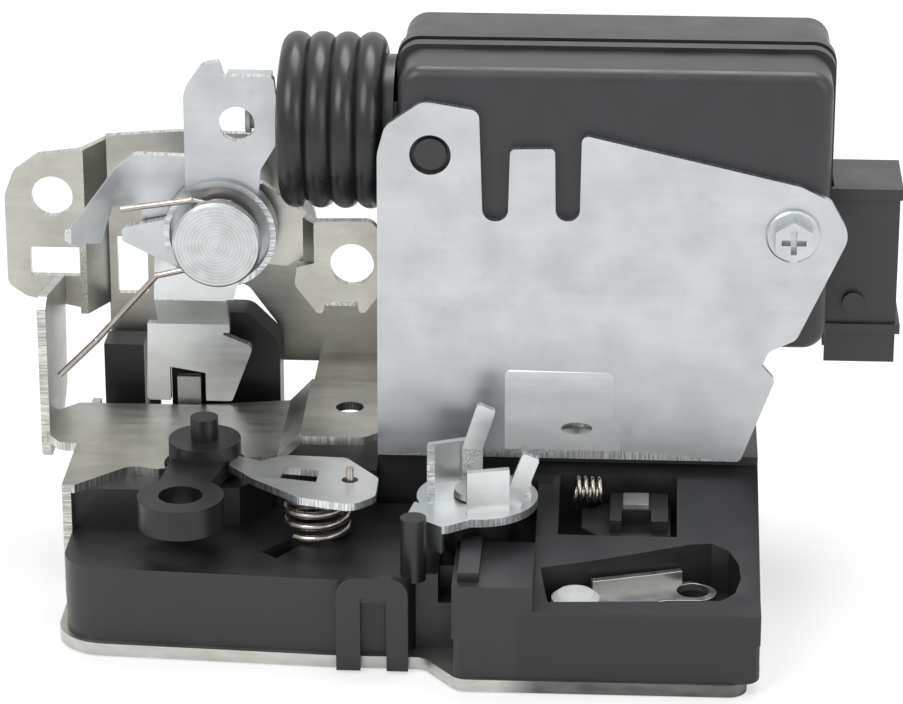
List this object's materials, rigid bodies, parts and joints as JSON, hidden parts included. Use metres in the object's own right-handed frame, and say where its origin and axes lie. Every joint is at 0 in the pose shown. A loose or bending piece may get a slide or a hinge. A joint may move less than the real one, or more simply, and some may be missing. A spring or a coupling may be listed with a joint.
{
  "type": "car door lock",
  "caption": "Side door latch with a striker plate, rod levers on a stud, a key crank and a plug-in locking actuator with a bellows.",
  "frame": {"origin": "axis of the middle tapped hole, on the outer face of the striker plate", "axes": "+Z from the striker plate towards the actuator; +X along the plate, from the rod levers to the plug; +Y away from the lever side"},
  "size_m": [0.145, 0.0754, 0.0873],
  "materials": {
    "olive_zinc": "satin olive-grey zinc plate",
    "bright_zinc": "bright bluish zinc plate",
    "bare_steel": "plain machined steel",
    "turned_steel": "turned, with fine concentric rings",
    "spring_wire": "drawn spring wire",
    "black_plastic": "moulded, half matte",
    "grey_plastic": "moulded, fine spark texture",
    "rubber": "smooth and slightly glossy",
    "white_nylon": "natural nylon",
    "tinned_brass": "tinned"
  },
  "bodies": {
    "base": {"face_plate": "olive_zinc", "latch_housing": "black_plastic", "striker_bumper": "rubber", "frame_plate": "olive_zinc", "pivot_stud": "turned_steel", "fork_pin": "bare_steel", "pawl_pin": "bare_steel", "fork_spring": "spring_wire", "pawl_spring": "spring_wire", "lever_spring": "spring_wire", "detent_spring": "spring_wire", "bracket_plate": "bright_zinc", "bracket_screw": "bright_zinc", "base_screw": "bare_steel", "actuator_case": "grey_plastic", "actuator_cover": "grey_plastic", "case_seal": "rubber", "connector_shroud": "grey_plastic", "terminal_blades": "tinned_brass", "motor_can": "bare_steel", "wheel_axle": "bare_steel", "key_pin": "bare_steel", "toggle_rivet": "white_nylon", "slide_spring": "spring_wire", "rod_boot": "rubber"},
    "fork": {"fork": "bare_steel"},
    "pawl": {"pawl": "bare_steel"},
    "lock_crank": {"lock_crank": "bright_zinc"},
    "plunger": {"plunger": "white_nylon"},
    "reduction_wheel": {"reduction_wheel": "white_nylon"},
    "worm_shaft": {"worm_shaft": "bare_steel"},
    "inside_lever": {"inside_lever": "bright_zinc"},
    "outside_lever": {"outside_lever": "olive_zinc"},
    "release_lever": {"release_lever": "bright_zinc"},
    "ring_lever": {"ring_lever": "black_plastic", "link_plate": "bright_zinc"},
    "key_crank": {"key_crank": "bright_zinc"},
    "locking_slide": {"locking_slide": "black_plastic", "slide_clip": "bare_steel"},
    "toggle_lever": {"toggle_lever": "bare_steel"}
  },
  "joints": [
    {"name": "fork_turn", "type": "hinge", "parent": "base", "child": "fork", "pos_m": [-0.02, 0.02, 0.0044], "axis": [0, 0, -1], "range_deg": [0, 52], "stiffness_Nm_per_rad": 0.12, "springref_deg": -20.05, "deforming": ["fork_spring"]},
    {"name": "outside_lever_turn", "type": "hinge", "parent": "base", "child": "outside_lever", "pos_m": [-0.0374, 0.017, 0.056], "axis": [0, 1, 0], "range_deg": [0, 10], "stiffness_Nm_per_rad": 0.12, "springref_deg": -17.19},
    {"name": "release_lever_turn", "type": "hinge", "parent": "base", "child": "release_lever", "pos_m": [-0.0374, 0.017, 0.056], "axis": [0, 1, 0], "range_deg": [0, 10]},
    {"name": "pawl_turn", "type": "hinge", "parent": "base", "child": "pawl", "pos_m": [-0.046, 0.007, 0.0044], "axis": [0, 0, 1], "range_deg": [0, 14], "deforming": ["pawl_spring"]},
    {"name": "inside_lever_turn", "type": "hinge", "parent": "base", "child": "inside_lever", "pos_m": [-0.0374, 0.017, 0.056], "axis": [0, 1, 0], "range_deg": [0, 12], "stiffness_Nm_per_rad": 0.1, "springref_deg": -17.19, "deforming": ["lever_spring"]},
    {"name": "lock_crank_turn", "type": "hinge", "parent": "base", "child": "lock_crank", "pos_m": [-0.0374, 0.017, 0.056], "axis": [0, -1, 0], "range_deg": [0, 20]},
    {"name": "plunger_slide", "type": "slide", "parent": "base", "child": "plunger", "axis": [-1, 0, 0], "range_m": [0, 0.006], "deforming": ["rod_boot"]},
    {"name": "reduction_wheel_turn", "type": "hinge", "parent": "base", "child": "reduction_wheel", "pos_m": [0.016, 0.023, 0.0649], "axis": [0, -1, 0], "range_deg": [0, 86]},
    {"name": "worm_shaft_spin", "type": "hinge", "parent": "base", "child": "worm_shaft", "pos_m": [0.0275, 0.023, 0.0534], "axis": [1, 0, 0], "range_deg": [0, 860]},
    {"name": "ring_lever_turn", "type": "hinge", "parent": "base", "child": "ring_lever", "pos_m": [-0.0391, 0.0026, 0.022], "axis": [0, 0, -1], "range_deg": [0, 12], "deforming": ["detent_spring"]},
    {"name": "key_crank_turn", "type": "hinge", "parent": "base", "child": "key_crank", "pos_m": [0.0044, -0.0074, 0.021], "axis": [0, 0, 1], "range_deg": [-30, 8]},
    {"name": "locking_slide_travel", "type": "slide", "parent": "base", "child": "locking_slide", "axis": [-1, 0, 0], "range_m": [0, 0.003], "stiffness_N_per_m": 150, "springref_m": -0.004, "deforming": ["slide_spring"]},
    {"name": "toggle_lever_turn", "type": "hinge", "parent": "base", "child": "toggle_lever", "pos_m": [0.0201, -0.0229, 0.0105], "axis": [0, 0, 1], "range_deg": [-5, 0]}
  ],
  "couplings": [
    {"joint": "release_lever_turn", "follows": "outside_lever_turn", "ratio": 1},
    {"joint": "pawl_turn", "follows": "outside_lever_turn", "ratio": 1.4},
    {"joint": "plunger_slide", "follows": "lock_crank_turn", "m_per_rad": 0.0171},
    {"joint": "reduction_wheel_turn", "follows": "lock_crank_turn", "ratio": 4.275},
    {"joint": "worm_shaft_spin", "follows": "lock_crank_turn", "ratio": 42.75}
  ]
}
